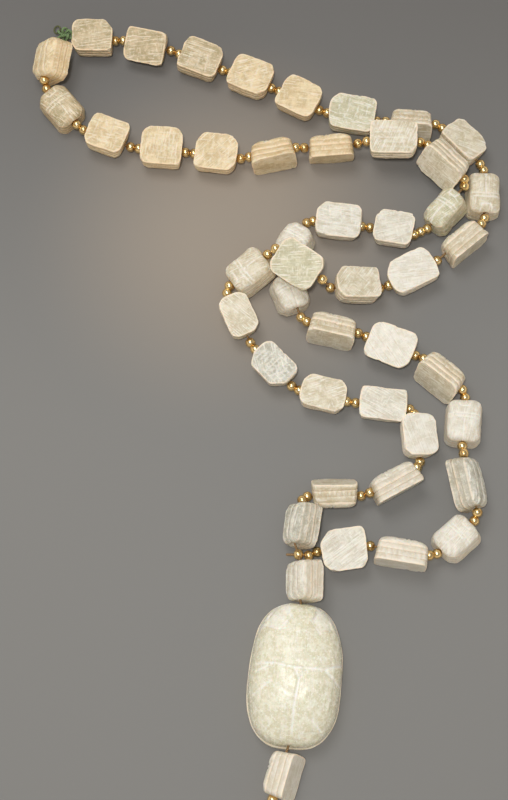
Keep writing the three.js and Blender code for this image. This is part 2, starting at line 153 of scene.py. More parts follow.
def attitude(roll, tilt, heading):
    """The turn of a bead that is rolled round its hole, tilted along its run and headed along it."""
    return Euler((radians(roll), -tilt, heading), "XYZ").to_matrix()


def resting_corners(length, width):
    """The corners of a bead's outlines, from the string through its hole."""
    outlines = [
        (height, length * long / 2, width * wide / 2, CORNER_LENGTH * long, CORNER_WIDTH * wide)
        for height, long, wide in RESTING_LEVELS
    ]
    back_length = length * BACK_LENGTH / 2
    back_width = width * BACK_WIDTH / 2
    back_cuts = (back_length * BACK_CUT_LENGTH, back_width * BACK_CUT_WIDTH)
    outlines.append((BEAD_HEIGHT, back_length, back_width, *back_cuts))
    corners = []
    for height, half_length, half_width, cut_length, cut_width in outlines:
        for long in (-1, 1):
            for wide in (-1, 1):
                corners.append((long * half_length, wide * (half_width - cut_width), height))
                corners.append((long * (half_length - cut_length), wide * half_width, height))
    return [Vector((x, y, z - HOLE_HEIGHT)) for x, y, z in corners]


def resting_height(length, width, turn):
    """How high the middle of a bead's hole is when the bead rests on the table."""
    return -min((turn @ corner).z for corner in resting_corners(length, width))


class LaidBead:
    """A bead where it lies: its sizes and cuts, its turn, the middle of its hole and its run."""

    def __init__(self, row, head, turn, plan_centre, half_pitch=0):
        roll, self.length, self.width, lift = row[:4]
        self.stone, self.marks, self.scratch_angle, corners = row[5:]
        self.head = head
        self.turn = turn
        height = resting_height(self.length, self.width, turn) + lift
        self.centre = Vector((*plan_centre, height))
        self.ahead = turn @ Vector((1, 0, 0))
        self.half_pitch = half_pitch
        # The corner cuts in the bead's own order: start right, start left, end right and end left, or
        # the other way round where the bead lies on its back.
        start_left, start_right, end_right, end_left = corners
        self.corners = [start_right, start_left, end_right, end_left]
        if cos(radians(roll)) < 0:
            self.corners = [start_left, start_right, end_left, end_right]


def lay_out(start, rows, head):
    """Where each bead of a strand lies: halfway between two turns of the string, tilted with it."""
    turns = [start] + [row[4] for row in rows]
    level = [resting_height(row[1], row[2], attitude(row[0], 0, 0)) + row[3] for row in rows]
    heights = []
    for i in range(len(turns)):
        heights.append((level[max(0, i - 1)] + level[min(len(rows) - 1, i)]) / 2)
    laid = []
    for i, row in enumerate(rows):
        run_x = turns[i + 1][0] - turns[i][0]
        run_y = turns[i + 1][1] - turns[i][1]
        run = hypot(run_x, run_y)
        tilt = atan2(heights[i + 1] - heights[i], run)
        turn = attitude(row[0], tilt, atan2(run_y, run_x))
        middle = ((turns[i][0] + turns[i + 1][0]) / 2, (turns[i][1] + turns[i + 1][1]) / 2)
        laid.append(LaidBead(row, head, turn, middle, run / 2))
    return laid


def lay_drop(row, heading):
    return LaidBead(row, DROP_HEADS, attitude(row[0], 0, radians(heading)), row[4])


upper = lay_out(UPPER_START, UPPER_BEADS, UPPER_HEADS)
lower = lay_out(LOWER_START, LOWER_BEADS, LOWER_HEADS)
drop_top = lay_drop(DROP_TOP, DROP_TOP_HEADING)
drop_end = lay_drop(DROP_END, DROP_END_HEADING)

# The stone
# Pale soapstone, from straw to almost white: clouded inside, rubbed flat with grit that left fine
# straight scratches, and chalky in the cut lines. Its edges and ridges get a painted highlight, and its
# grooves, notches and hole mouths a painted shade.
PIT_SHARE = 0.35
DULL_SHARE = 0.9
# The strength of the painted shade in the grooves.
GROOVE_SHADE_SHARE = 0.75
# The strength of the painted highlight on edges and ridges.
EDGE_HIGHLIGHT_SHARE = 0.9
CHALK_SHARE = 0.9
# The darker tone for pits and dull scratches, also used as painted shade in the grooves.
DIRT_AND_SHADE_TINT = (0.8, 0.68, 0.54)
# The tint of the painted edge highlight.
RIM_TINT = (1.04, 0.91, 0.79)
GLOSS_SPREAD = 0.18


def add_node(tree, kind, values=None, **settings):
    """A new shader node with its settings, and its sockets set to values or linked to sockets."""
    made = tree.nodes.new(kind)
    for name, value in settings.items():
        setattr(made, name, value)
    for name, value in (values or {}).items():
        if isinstance(value, bpy.types.NodeSocket):
            tree.links.new(value, made.inputs[name])
        else:
            made.inputs[name].default_value = value
    return made


def new_effect(name, inputs, outputs):
    """An empty node group that several materials share, with rows of name, kind and value."""
    tree = bpy.data.node_groups.new(name, "ShaderNodeTree")
    for label, kind, value in inputs:
        tree.interface.new_socket(label, in_out="INPUT", socket_type=kind).default_value = value
    for label, kind in outputs:
        tree.interface.new_socket(label, in_out="OUTPUT", socket_type=kind)
    return tree, tree.nodes.new("NodeGroupInput"), tree.nodes.new("NodeGroupOutput")


def band(tree, value, low, high):
    """A mask that rises from 0 at low to 1 at high."""
    limits = {"Value": value, "From Min": low, "From Max": high}
    return add_node(tree, "ShaderNodeMapRange", limits, interpolation_type="SMOOTHSTEP").outputs[0]


def times(tree, first, second):
    return add_node(tree, "ShaderNodeMath", {0: first, 1: second}, operation="MULTIPLY").outputs[0]


def mixed(tree, share, first, second):
    """The first colour, giving way to the second by share."""
    made = add_node(tree, "ShaderNodeMix", data_type="RGBA")
    for socket, value in ((made.inputs[0], share), (made.inputs[6], first), (made.inputs[7], second)):
        if isinstance(value, bpy.types.NodeSocket):
            tree.links.new(value, socket)
        else:
            socket.default_value = value
    return made.outputs[2]


def noise(tree, place, scale, detail, roughness=0.5):
    values = {"Vector": place, "Scale": scale, "Detail": detail, "Roughness": roughness}
    return add_node(tree, "ShaderNodeTexNoise", values).outputs[0]


def spread(tree, value, low, high):
    """The value from 0 to 1, spread from low to high."""
    values = {"Value": value, "To Min": low, "To Max": high}
    return add_node(tree, "ShaderNodeMapRange", values).outputs[0]


def bumped(tree, height, strength, distance, values=None):
    given = {"Height": height, "Strength": strength, "Distance": distance, **(values or {})}
    return add_node(tree, "ShaderNodeBump", given).outputs[0]


def clouding_effect():
    """Soft clouds, pale flecks, dark pits and a fine grain in the stone."""
    tree, given, result = new_effect(
        "stone clouding",
        [("Cloud Scale", "NodeSocketFloat", 300.0), ("Fleck Scale", "NodeSocketFloat", 1300.0)],
        [
            ("Clouds", "NodeSocketFloat"),
            ("Flecks", "NodeSocketFloat"),
            ("Pits", "NodeSocketFloat"),
            ("Grain", "NodeSocketFloat"),
        ],
    )
    place = add_node(tree, "ShaderNodeTexCoord").outputs["Object"]
    clouds = noise(tree, place, given.outputs["Cloud Scale"], 6.0, 0.66)
    flecks = noise(tree, place, given.outputs["Fleck Scale"], 3.0, 0.7)
    grain = noise(tree, place, 3600.0, 2.0)
    tree.links.new(band(tree, clouds, 0.4, 0.6), result.inputs["Clouds"])
    tree.links.new(band(tree, flecks, 0.52, 0.68), result.inputs["Flecks"])
    tree.links.new(band(tree, flecks, 0.4, 0.27), result.inputs["Pits"])
    tree.links.new(grain, result.inputs["Grain"])
    return tree


def scratches(tree, place, along, across):
    """Noise drawn out into scratches, given how many to a metre there are each way."""
    stretch = add_node(tree, "ShaderNodeCombineXYZ", {"X": along, "Y": across, "Z": 700.0}).outputs[0]
    drawn = add_node(tree, "ShaderNodeVectorMath", {0: place, 1: stretch}, operation="MULTIPLY")
    return noise(tree, drawn.outputs[0], 1.0, 2.0)


def sanding_effect():
    """Fine straight scratches from the grit that flattened the bead, in patches: pale and dull ones."""
    tree, given, result = new_effect(
        "sanding scratches",
        [("Spacing", "NodeSocketFloat", 2700.0)],
        [("Pale", "NodeSocketFloat"), ("Dull", "NodeSocketFloat"), ("Height", "NodeSocketFloat")],
    )
    place = add_node(tree, "ShaderNodeAttribute", attribute_name="bead_place").outputs["Vector"]
    lines = scratches(tree, place, 190.0, given.outputs["Spacing"])
    cross_lines = scratches(tree, place, 1900.0, 260.0)
    patches = noise(tree, place, 260.0, 2.0)
    main = times(tree, band(tree, lines, 0.54, 0.63), band(tree, patches, 0.36, 0.56))
    crossing = times(tree, band(tree, cross_lines, 0.56, 0.66), band(tree, patches, 0.54, 0.4))
    fainter = times(tree, crossing, 0.7)
    pale = add_node(tree, "ShaderNodeMath", {0: main, 1: fainter}, operation="MAXIMUM").outputs[0]
    tree.links.new(pale, result.inputs["Pale"])
    tree.links.new(times(tree, band(tree, lines, 0.44, 0.34), patches), result.inputs["Dull"])
    tree.links.new(lines, result.inputs["Height"])
    return tree


def chalk_and_light_effect():
    """Painted edge highlight, chalky cut lines and painted groove shade, each broken up by noise."""
    tree, given, result = new_effect(
        "chalk and painted edge light and groove shade",
        [("Break Up", "NodeSocketFloat", 600.0)],
        [("Edge Highlight", "NodeSocketFloat"), ("Chalk", "NodeSocketFloat"), ("Groove Shade", "NodeSocketFloat")],
    )
    place = add_node(tree, "ShaderNodeTexCoord").outputs["Object"]
    patches = band(tree, noise(tree, place, given.outputs["Break Up"], 3.0), 0.25, 0.5)
    # The edge highlight is painted light and the groove shade is painted shade; the cut lines hold chalk.
    for attribute, output in (("edge_highlight", "Edge Highlight"), ("cut_line", "Chalk"), ("groove_shade", "Groove Shade")):
        amount = add_node(tree, "ShaderNodeAttribute", attribute_name=attribute).outputs["Fac"]
        tree.links.new(times(tree, amount, patches), result.inputs[output])
    return tree


clouding = clouding_effect()
sanding = sanding_effect()
chalk_and_light = chalk_and_light_effect()


def tinted(colour, tint):
    return (*(part * share for part, share in zip(colour, tint)), 1)


def stone_material(
    name, light, deep, chalk, gloss=0.5, cloud_scale=300.0, fleck_share=0.5, scratch_share=0.7
):
    """A pale stone: light and deep are its cloud colours, and chalk shows in scratches and cut lines."""
    material = bpy.data.materials.new(name)
    material.use_nodes = True
    tree = material.node_tree
    shader = tree.nodes["Principled BSDF"]
    cloud_node = add_node(tree, "ShaderNodeGroup", {"Cloud Scale": cloud_scale}, node_tree=clouding)
    sand_node = add_node(tree, "ShaderNodeGroup", node_tree=sanding)
    chalk_and_light_node = add_node(tree, "ShaderNodeGroup", node_tree=chalk_and_light)
    # A darker tone of the stone for its pits and dull scratches, also used as painted shade in the
    # grooves.
    dirt_and_shade = tinted(deep, DIRT_AND_SHADE_TINT)
    white = (*chalk, 1)
    body = mixed(tree, cloud_node.outputs["Clouds"], (*deep, 1), (*light, 1))
    for mask, share, colour in (
        (cloud_node.outputs["Flecks"], fleck_share, white),
        (cloud_node.outputs["Pits"], PIT_SHARE, dirt_and_shade),
        (sand_node.outputs["Pale"], scratch_share, white),
        (sand_node.outputs["Dull"], scratch_share * DULL_SHARE, dirt_and_shade),
        # Painted shade in the grooves, notches and hole mouths.
        (chalk_and_light_node.outputs["Groove Shade"], GROOVE_SHADE_SHARE, dirt_and_shade),
        # A painted highlight on edges and ridges.
        (chalk_and_light_node.outputs["Edge Highlight"], EDGE_HIGHLIGHT_SHARE, tinted(chalk, RIM_TINT)),
        (chalk_and_light_node.outputs["Chalk"], CHALK_SHARE, white),
    ):
        body = mixed(tree, times(tree, mask, share), body, colour)
    tree.links.new(body, shader.inputs["Base Color"])
    rough = spread(tree, cloud_node.outputs["Flecks"], gloss, gloss + GLOSS_SPREAD)
    tree.links.new(rough, shader.inputs["Roughness"])
    shader.inputs["Specular IOR Level"].default_value = 0.4
    shader.inputs["Subsurface Weight"].default_value = 0.2
    shader.inputs["Subsurface Radius"].default_value = (1.0, 0.55, 0.3)
    shader.inputs["Subsurface Scale"].default_value = 0.0012
    sanded = bumped(tree, sand_node.outputs["Height"], 0.4, 0.0002)
    skin = bumped(tree, cloud_node.outputs["Grain"], 0.3, 0.0001, {"Normal": sanded})
    tree.links.new(skin, shader.inputs["Normal"])
    return material


CHALK = (0.93, 0.90, 0.81)
WARM_CHALK = (0.92, 0.83, 0.66)
stones = {
    "olive": stone_material("olive soapstone", (0.63, 0.51, 0.325), (0.45, 0.37, 0.21), WARM_CHALK),
    "straw": stone_material("straw soapstone", (0.83, 0.68, 0.43), (0.65, 0.51, 0.29), WARM_CHALK),
    "cream": stone_material("cream soapstone", (0.77, 0.71, 0.56), (0.61, 0.54, 0.38), CHALK),
    "pearl": stone_material("pearly soapstone", (0.78, 0.75, 0.65), (0.65, 0.61, 0.50), CHALK),
    "white": stone_material("white soapstone", (0.84, 0.81, 0.72), (0.73, 0.69, 0.58), CHALK),
    "green": stone_material("green soapstone", (0.69, 0.65, 0.47), (0.54, 0.51, 0.34), CHALK),
    "grey": stone_material("grey soapstone", (0.64, 0.63, 0.54), (0.46, 0.445, 0.36), CHALK),
}
WARM_BEADS = {"upper": 8, "lower": 9}

# The small scarabs
# Each is a flat plate with its corners cut off, over three steps of its side and a low back with the
# lines of the wing cases. They are sawn, rubbed and cut by hand, so outlines, lines and chips all differ.
BLOCK_CUTS = (45, 37, 21)
SHOULDER_HEIGHT = 0.0063
CORNER_SHARPNESS = 22
ON_EDGE = 0.6
SIDE_LEAN = 0.018
BACK_LINE_REACH = 0.00048
BACK_LINE_DEPTH = 0.0003
STROKE_REACH = 0.0004
STROKE_DEPTH = 0.0002
BEAD_BUMPS = ((0.00011, 0.007), (0.00005, 0.0022))
RIM_REACH = 0.0005
CHIP_DEPTHS = (0.0002, 0.0005)
DENT_REACHES = (0.0005, 0.0012)
DENT_DEPTHS = (0.0001, 0.0003)
NOTCH_COUNT = 8
NOTCH_HEIGHT = 0.0030
NOTCH_REACH = 0.0007
NOTCH_DEPTH = 0.00045
SEAT_RADIUS = 0.00176
SEAT_REACH = 0.00125
DRILL_RADIUS = 0.0006
DRILL_DEPTH = 0.0012
MOUTH_REACH = 0.0011

# The side of a bead from the plate up, a row per ring of points: the height in millimetres, the shares of
# its length and width, its painted edge highlight and painted groove shade, and the step that it belongs
# to.
SIDE_ROWS = np.array([
    (0.00, 0.985, 0.982, 1.0, 0.0, 0),
    (0.12, 1.000, 1.000, 1.0, 0.0, 0),
    (0.35, 1.000, 1.000, 0.4, 0.0, 0),
    (0.90, 0.998, 0.997, 0.0, 0.4, 0),
    (1.50, 0.995, 0.993, 0.0, 0.5, 1),
    (1.70, 0.985, 0.975, 0.2, 0.7, 1),
    (1.90, 0.950, 0.925, 0.0, 1.0, 1),
    (2.05, 0.960, 0.945, 0.6, 0.3, 1),
    (2.20, 0.970, 0.972, 1.0, 0.0, 1),
    (2.45, 0.972, 0.976, 0.5, 0.2, 1),
    (3.00, 0.970, 0.970, 0.0, 0.4, 0),
    (3.45, 0.965, 0.962, 0.0, 0.5, 2),
    (3.62, 0.955, 0.945, 0.2, 0.7, 2),
    (3.78, 0.930, 0.905, 0.0, 1.0, 2),
    (3.92, 0.942, 0.925, 0.6, 0.3, 2),
    (4.08, 0.955, 0.948, 1.0, 0.0, 2),
    (4.35, 0.955, 0.948, 0.5, 0.2, 2),
    (4.95, 0.950, 0.932, 0.0, 0.4, 0),
    (5.40, 0.945, 0.915, 0.0, 0.5, 3),
    (5.60, 0.935, 0.895, 0.0, 0.7, 3),
    (5.78, 0.932, 0.890, 0.5, 0.2, 3),
    (6.00, 0.930, 0.888, 0.9, 0.0, 3),
    (6.30, 0.920, 0.872, 0.5, 0.0, 0),
])

# The same side without its steps: the height, and the shares of the length and width.
SMOOTH_SIDE = np.array([(0.0, 1.0, 1.0), (2.2, 0.982, 0.982), (4.1, 0.960, 0.952), (6.3, 0.920, 0.872)])

# The beetle's lines, as shares of half the length towards the head and of half the width: the edge of its
# neck shield, the lower edge of the shield, the seam of its wing cases and its brow.
BEETLE_LINES = [
    [(0.24, -0.84), (0.28, -0.3), (0.28, 0.3), (0.24, 0.84)],
    [(0.08, -0.8), (0.13, 0), (0.08, 0.8)],
    [(0.13, 0), (-0.88, 0)],
    [(0.86, -0.34), (0.6, -0.26), (0.6, 0.26), (0.86, 0.34)],
]
FLUTE_LINES = [
    [(-0.9, -0.55), (0.9, -0.44)],
    [(-0.9, 0.02), (0.9, 0.016)],
    [(-0.9, 0.5), (0.9, 0.4)],
]


def divided_block(cuts):
    """The points of a cube from -1 to 1 with its faces divided, and the mesh that they belong to."""
    cube = bmesh.new()
    bmesh.ops.create_cube(cube, size=2.0)
    for axis, count in enumerate(cuts):
        along = []
        for edge in cube.edges:
            start, end = edge.verts
            if abs((start.co - end.co)[axis]) > 1e-6:
                along.append(edge)
        bmesh.ops.subdivide_edges(cube, edges=along, cuts=count, use_grid_fill=True)
    mesh = bpy.data.meshes.new("block")
    cube.to_mesh(mesh)
    cube.free()
    points = np.empty(len(mesh.vertices) * 3)
    mesh.vertices.foreach_get("co", points)
    mesh.polygons.foreach_set("use_smooth", np.ones(len(mesh.polygons), dtype=bool))
    return points.reshape(-1, 3), mesh


def closer_at_ends(share):
    """The share of the way out, from -1 to 1, with the points drawn together towards the ends."""
    return np.sign(share) * (1 - (1 - np.abs(share)) ** 1.3)


def fade(distance, reach):
    """1 at no distance, falling smoothly to 0 at reach."""
    share = np.clip(1 - distance / reach, 0, 1)
    return share * share * (3 - 2 * share)


def uneven(points, rng, size, count=12):
    """A smooth uneven field over the points, within about -1 to 1, with bumps about size across."""
    ways = rng.normal(size=(count, 3))
    ways *= (tau / size * rng.uniform(0.5, 1.3, count) / np.linalg.norm(ways, axis=1))[:, None]
    return np.sin(points @ ways.T + rng.uniform(0, tau, count)).sum(axis=1) / np.sqrt(count)


def line_distance(flat_points, line):
    """How far points on a face are from a line of several stretches."""
    nearest = np.full(len(flat_points), np.inf)
    for start, end in zip(line, line[1:]):
        run = np.subtract(end, start)
        share = np.clip((flat_points - start) @ run / (run @ run), 0, 1)
        away = np.linalg.norm(flat_points - start - share[:, None] * run, axis=1)
        nearest = np.minimum(nearest, away)
    return nearest


def back_lines(marks, length, width, head):
    """The lines cut in a bead's back: a beetle's lines, or plain flutes along it."""
    lines = FLUTE_LINES if marks == "flutes" else BEETLE_LINES
    return [[(long * head * length / 2, wide * width / 2) for long, wide in line] for line in lines]


def plate_lines(marks, length, width, rng):
    """Rows of short strokes cut in the plate: no letters, only strokes."""
    long, wide = length / 2 * 0.8, width / 2 * 0.78
    lines = []
    if marks == "rows":
        for y in np.linspace(-0.7 * wide, 0.8 * wide, 5):
            start = -long * rng.uniform(0.6, 1)
            lines.append([(start, y), (long * rng.uniform(0.4, 0.9), y + rng.uniform(-0.0006, 0.0006))])
        for x in np.linspace(-0.6 * long, 0.6 * long, 3):
            lines.append([(x, wide), (x + rng.uniform(-0.0012, 0.0012), wide * rng.uniform(-0.2, 0.3))])
    if marks == "strokes":
        for y in np.linspace(-0.7 * wide, 0.7 * wide, 4):
            for x in np.linspace(-0.75 * long, 0.75 * long, 4):
                turn = rng.choice([0, pi / 2, pi / 3, -pi / 4])
                size = rng.uniform(0.0008, 0.0015)
                step = (cos(turn) * size, sin(turn) * size)
                lines.append([(x - step[0], y - step[1]), (x + step[0], y + step[1])])
    if marks == "grid":
        for y in np.linspace(-0.85 * wide, 0.85 * wide, 5):
            lines.append([(-0.2 * long, y), (0.95 * long, y)])
        for x in np.linspace(-0.9 * long, 0.9 * long, 9):
            start = -0.8 * wide * rng.uniform(0.6, 1)
            lines.append([(x, start), (x, 0.8 * wide * rng.uniform(0.5, 1))])
    return lines


def cut_corners(x, y, half_length, half_width, corners):
    """Pulls a rectangle's outline in to the flats across its corners."""
    corner = 2 * (x > 0) + (y > 0)
    cut_length = CORNER_LENGTH * np.array(corners)[corner]
    cut_width = CORNER_WIDTH * np.array(corners)[corner]
    whole = half_length / cut_length + half_width / cut_width - 1
    over = (np.abs(x) / cut_length + np.abs(y) / cut_width) / whole
    pull = (1 + over ** CORNER_SHARPNESS) ** (-1 / CORNER_SHARPNESS)
    return x * pull, y * pull


def carve_bead(grid, bead, rng):
    """Moves the grid's points into the form of one bead, and returns them with its surface's masks."""
    half_length, half_width = bead.length / 2, bead.width / 2
    u, v = closer_at_ends(grid[:, 0]), closer_at_ends(grid[:, 1])
    ring = np.rint((grid[:, 2] + 1) / 2 * (len(SIDE_ROWS) - 1)).astype(int)
    reach = np.maximum(np.maximum(np.abs(u), np.abs(v)), 1e-9)
    on_side = reach > 1 - 1e-6
    on_back = (ring == len(SIDE_ROWS) - 1) & ~on_side
    on_plate = (ring == 0) & ~on_side
    at_end = on_side & (np.abs(u) > 1 - 1e-6)
    corners = np.array(bead.corners) * rng.uniform(0.9, 1.1, 4)
    outline_x, outline_y = u / reach * half_length, v / reach * half_width
    outline_x, outline_y = cut_corners(outline_x, outline_y, half_length, half_width, corners)
    height, long, wide, edge, groove_shade, step = SIDE_ROWS[ring].T
    depths = rng.uniform(0.5, 1.25, 3)
    if abs(bead.turn[2][2]) < ON_EDGE:
        depths = rng.permutation([1.2, 0.55, 0.1])
    depth = np.array([1, *depths])[step.astype(int)]
    smooth_long = np.interp(height, SMOOTH_SIDE[:, 0], SMOOTH_SIDE[:, 1])
    smooth_wide = np.interp(height, SMOOTH_SIDE[:, 0], SMOOTH_SIDE[:, 2])
    x = outline_x * reach * (smooth_long + (long - smooth_long) * depth)
    y = outline_y * reach * (smooth_wide + (wide - smooth_wide) * depth)
    height = height / 1000
    height += rng.normal(0, SIDE_LEAN) * x * np.sin(pi * height / SHOULDER_HEIGHT)
    dome = (1 - np.abs(u) ** 6) ** 0.75 * (1 - np.abs(v) ** 3.8) ** 0.75
    height = np.where(on_back, SHOULDER_HEIGHT + (BEAD_HEIGHT - SHOULDER_HEIGHT) * dome, height)
    # The edge mask is a painted highlight and the groove mask a painted shade, both on the side only.
    edge = edge * on_side * np.clip(depth * 1.1, 0, 1)
    groove_shade = groove_shade * on_side

    flat = np.column_stack((x, y))
    cut_line = np.zeros(len(grid))
    for line in back_lines(bead.marks, bead.length, bead.width, bead.head):
        cut = fade(line_distance(flat, line), BACK_LINE_REACH) * on_back
        height -= BACK_LINE_DEPTH * cut
        cut_line = np.maximum(cut_line, cut)
    for line in plate_lines(bead.marks, bead.length, bead.width, rng):
        cut = fade(line_distance(flat, line), STROKE_REACH) * on_plate
        height += STROKE_DEPTH * cut
        cut_line = np.maximum(cut_line, 0.7 * cut)

    points = np.column_stack((x, y, height))
    middle = np.array((0, 0, BEAD_HEIGHT * 0.45))
    outwards = (points - middle) / np.linalg.norm(points - middle, axis=1)[:, None]
    bumps = sum(height * uneven(points, rng, size) for height, size in BEAD_BUMPS)
    points += outwards * np.where(on_plate, 0.3, 1)[:, None] * bumps[:, None]

    # A painted highlight along the plate's rim.
    rim = on_plate * fade((1 - reach) * half_width, RIM_REACH)
    edge = np.maximum(edge, rim)
    for _ in range(rng.integers(2, 5)):
        spot = points[rng.choice(np.flatnonzero(edge > 0.6))]
        way = (spot - middle) / np.linalg.norm(spot - middle) + rng.normal(0, 0.25, 3)
        way /= np.linalg.norm(way)
        over = points @ way
        over += rng.uniform(*CHIP_DEPTHS) - over.max()
        near = over > 0
        points[near] -= over[near, None] * way
        cut_line = np.maximum(cut_line, near * 0.25)
    for _ in range(rng.integers(4, 9)):
        spot = points[rng.choice(np.flatnonzero(edge > 0.6))]
        dent = fade(np.linalg.norm(points - spot, axis=1), rng.uniform(*DENT_REACHES))
        points -= outwards * (dent * rng.uniform(*DENT_DEPTHS))[:, None]
        cut_line = np.maximum(cut_line, dent * 0.4)
    if bead.marks == "notches":
        for spot_x in np.linspace(-0.75, 0.8, NOTCH_COUNT) * half_length:
            from_notch = np.hypot(points[:, 0] - spot_x, (points[:, 2] - NOTCH_HEIGHT) * 0.35)
            notch = fade(from_notch, NOTCH_REACH) * on_side
            points[:, 1] -= np.sign(points[:, 1]) * NOTCH_DEPTH * notch
            # Painted shade in the notches.
            groove_shade = np.maximum(groove_shade, notch * 0.4)

    from_hole = np.hypot(points[:, 1], points[:, 2] - HOLE_HEIGHT)
    seat_middle = bead.length * END_SHARE + SEAT_REACH
    seat = seat_middle - np.sqrt(np.clip(SEAT_RADIUS ** 2 - from_hole ** 2, 0, None))
    in_seat = at_end & (from_hole < SEAT_RADIUS)
    end_x = np.where(in_seat, np.minimum(np.abs(points[:, 0]), seat), np.abs(points[:, 0]))
    end_x -= at_end * DRILL_DEPTH * fade(from_hole, DRILL_RADIUS)
    points[:, 0] = np.sign(points[:, 0]) * end_x
    # Painted shade in the mouths of the hole.
    groove_shade = np.maximum(groove_shade, at_end * fade(from_hole, MOUTH_REACH))
    return points, {"cut_line": cut_line, "edge_highlight": edge, "groove_shade": groove_shade}


def give_attributes(mesh, place, masks):
    """Stores where each point is on its own bead, turned along its scratches, and the stone's masks."""
    places = mesh.attributes.new("bead_place", "FLOAT_VECTOR", "POINT")
    places.data.foreach_set("vector", place.ravel())
    for name, values in masks.items():
        mesh.attributes.new(name, "FLOAT", "POINT").data.foreach_set("value", values)


def new_piece(name, mesh, material, slot, *nodes):
    """A finished piece that rides with the necklace and stands for its solids, if it has any."""
    mesh.name = name
    mesh.materials.append(material)
    piece = bpy.data.objects.new(name, mesh)
    bpy.context.scene.collection.objects.link(piece)
    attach(piece, "root")
    if nodes:
        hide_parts(*nodes)


bead_grid, bead_block = divided_block(BLOCK_CUTS)


def make_bead(node, bead, seed, slot="pale_stone"):
    """Carves one bead and lays it in its place on the string."""
    rng = np.random.default_rng(seed)
    points, masks = carve_bead(bead_grid, bead, rng)
    mesh = bead_block.copy()
    along = np.array(Matrix.Rotation(radians(bead.scratch_angle), 3, "Z"))
    give_attributes(mesh, points @ along.T + rng.uniform(-0.2, 0.2, 3), masks)
    from_hole = Matrix.Translation((0, 0, -HOLE_HEIGHT))
    place = Matrix.Translation(bead.centre) @ bead.turn.to_4x4() @ from_hole
    turned = points @ np.array(place.to_3x3()).T + np.array(place.translation)
    mesh.vertices.foreach_set("co", turned.ravel())
    mesh.update()
    new_piece("carved_" + node, mesh, stones[bead.stone], slot, node)


for strand_name, laid, first_seed in (("upper", upper, 100), ("lower", lower, 200)):
    for number, bead in enumerate(laid, start=1):
        slot = "warm_stone" if number <= WARM_BEADS[strand_name] else "pale_stone"
        make_bead(f"scarab_{strand_name}_{number:02d}", bead, first_seed + number, slot)
make_bead("scarab_drop_top", drop_top, 300)
make_bead("scarab_drop_end", drop_end, 301)
bpy.data.meshes.remove(bead_block)

# The large scarab
# The pendant, of the same stone with a greenish cast, softly polished: an oval plate, a groove, and a
# high back with the head, cheeks, neck shield and wing cases cut in with chalk-filled lines.
LARGE_LENGTH = 0.0452
LARGE_WIDTH = 0.0296
LARGE_LEAN = 5.5
OVAL_POWER = 2.65
LARGE_NARROWING = 0.05
LARGE_HOLE_HEIGHT = 0.0061
LARGE_CUTS = (139, 95, 21)
LARGE_SHOULDER = 0.0088
CHEEK_SLOPE = 0.0006
CHEEK_DEPTH = 0.0007
LARGE_LINE_REACH = 0.0007
LARGE_LINE_DEPTH = 0.0004
LARGE_MOUTH_REACH = 0.0013
LARGE_MOUTH_DEPTH = 0.0018
LARGE_BUMPS = ((0.00016, 0.012), (0.00005, 0.003))

# The side from the plate up, a row per ring of points: the height in millimetres, the shares of the
# length and width, and its painted edge highlight and painted groove shade.
LARGE_ROWS = np.array([
    (0.00, 0.975, 0.965, 0.3, 0.0),
    (0.30, 0.990, 0.985, 0.5, 0.0),
    (0.60, 0.998, 0.997, 0.5, 0.0),
    (1.00, 1.000, 1.000, 0.2, 0.0),
    (1.70, 1.000, 1.000, 0.0, 0.0),
    (2.40, 1.000, 1.000, 0.1, 0.0),
    (2.80, 0.999, 0.999, 0.6, 0.0),
    (3.00, 0.995, 0.995, 1.0, 0.0),
    (3.15, 0.988, 0.986, 0.6, 0.1),
    (3.30, 0.979, 0.976, 0.2, 0.4),
    (3.50, 0.973, 0.968, 0.0, 0.8),
    (3.75, 0.972, 0.967, 0.0, 0.8),
    (4.00, 0.976, 0.972, 0.0, 0.4),
    (4.40, 0.980, 0.977, 0.1, 0.1),
    (4.90, 0.981, 0.978, 0.1, 0.0),
    (5.50, 0.979, 0.975, 0.0, 0.0),
    (6.10, 0.975, 0.970, 0.0, 0.0),
    (6.70, 0.970, 0.963, 0.0, 0.0),
    (7.30, 0.963, 0.954, 0.0, 0.0),
    (7.80, 0.956, 0.945, 0.0, 0.0),
    (8.20, 0.949, 0.937, 0.0, 0.0),
    (8.55, 0.942, 0.928, 0.0, 0.0),
    (8.80, 0.936, 0.921, 0.0, 0.0),
])

# The back over the shoulder, from the middle out: the share of the shoulder's outline, and the height.
LARGE_DOME = np.array([
    (0.0, 0.01595), (0.18, 0.0159), (0.34, 0.01565), (0.48, 0.0151), (0.62, 0.0143),
    (0.74, 0.0133), (0.84, 0.0122), (0.92, 0.0108), (0.97, 0.0097), (1.0, 0.0088),
])

